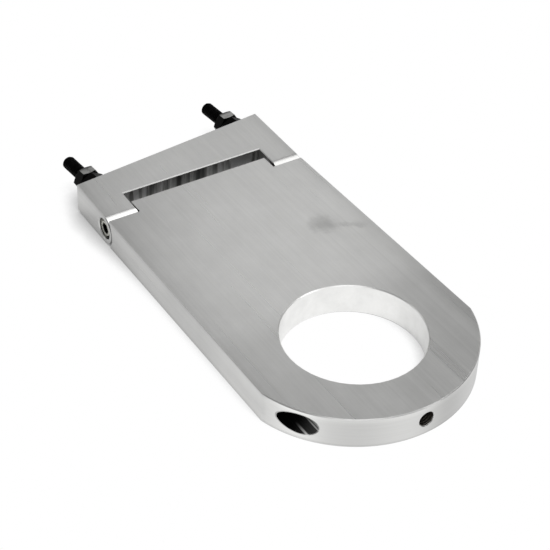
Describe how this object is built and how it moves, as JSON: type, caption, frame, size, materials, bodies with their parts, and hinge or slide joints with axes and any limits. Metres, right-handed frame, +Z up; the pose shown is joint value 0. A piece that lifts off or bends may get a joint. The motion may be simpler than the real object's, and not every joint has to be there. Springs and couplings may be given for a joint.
{
  "type": "watch movement holder",
  "caption": "Flat plate with a round ring opening, hinged to a clevis block that carries threaded mounting studs, so a watch movement in the ring can be tilted and locked.",
  "frame": {"origin": "bottom centre of the part's box at rest, on the plate's underside", "axes": "+X to the right seen from the ring end, +Y from the ring towards the hinge block and its studs, +Z up, square to the plate"},
  "size_m": [0.063, 0.145, 0.01],
  "materials": {
    "plate_aluminium": "satin, fine lengthwise brushing",
    "block_aluminium": "satin, fine lengthwise brushing",
    "pivot_screw_steel": "bright turned steel",
    "stud_black_steel": "black oxide, lightly oiled",
    "nut_black_steel": "black oxide, lightly oiled",
    "set_screw_black_steel": "black oxide",
    "plug_brass": "turned brass"
  },
  "bodies": {
    "block": {"hinge_block": "block_aluminium", "pivot_screw_left": "pivot_screw_steel", "pivot_screw_right": "pivot_screw_steel", "mounting_stud_left": "stud_black_steel", "mounting_stud_right": "stud_black_steel", "inner_nut_left": "nut_black_steel", "inner_nut_right": "nut_black_steel"},
    "plate": {"ring_plate": "plate_aluminium"},
    "lock_screw": {"tilt_lock_screw": "set_screw_black_steel"},
    "lock_plug": {"tilt_lock_plug": "plug_brass"},
    "grip_screw": {"ring_grip_screw": "set_screw_black_steel"},
    "outer_nut_left": {"outer_nut_left": "nut_black_steel"},
    "outer_nut_right": {"outer_nut_right": "nut_black_steel"}
  },
  "joints": [
    {"name": "tilt", "type": "hinge", "parent": "block", "child": "plate", "pos_m": [0, 0.03412, 0.0045], "axis": [-1, 0, 0], "range_deg": [-62.5, 57.5]},
    {"name": "lock_screw_travel", "type": "slide", "parent": "plate", "child": "lock_screw", "axis": [0, 1, 0], "range_m": [-0.0015, 0]},
    {"name": "lock_plug_travel", "type": "slide", "parent": "plate", "child": "lock_plug", "axis": [0, 1, 0], "range_m": [-0.0015, 0]},
    {"name": "grip_screw_travel", "type": "slide", "parent": "plate", "child": "grip_screw", "axis": [0, 1, 0], "range_m": [-0.003, 0.0045]},
    {"name": "outer_nut_left_travel", "type": "slide", "parent": "block", "child": "outer_nut_left", "axis": [-0.1045, 0.9936, 0.0434], "range_m": [0, 0.009]},
    {"name": "outer_nut_right_travel", "type": "slide", "parent": "block", "child": "outer_nut_right", "axis": [-0.1045, 0.9936, 0.0434], "range_m": [0, 0.009]}
  ],
  "couplings": [
    {"joint": "lock_plug_travel", "follows": "lock_screw_travel", "ratio": 1}
  ]
}
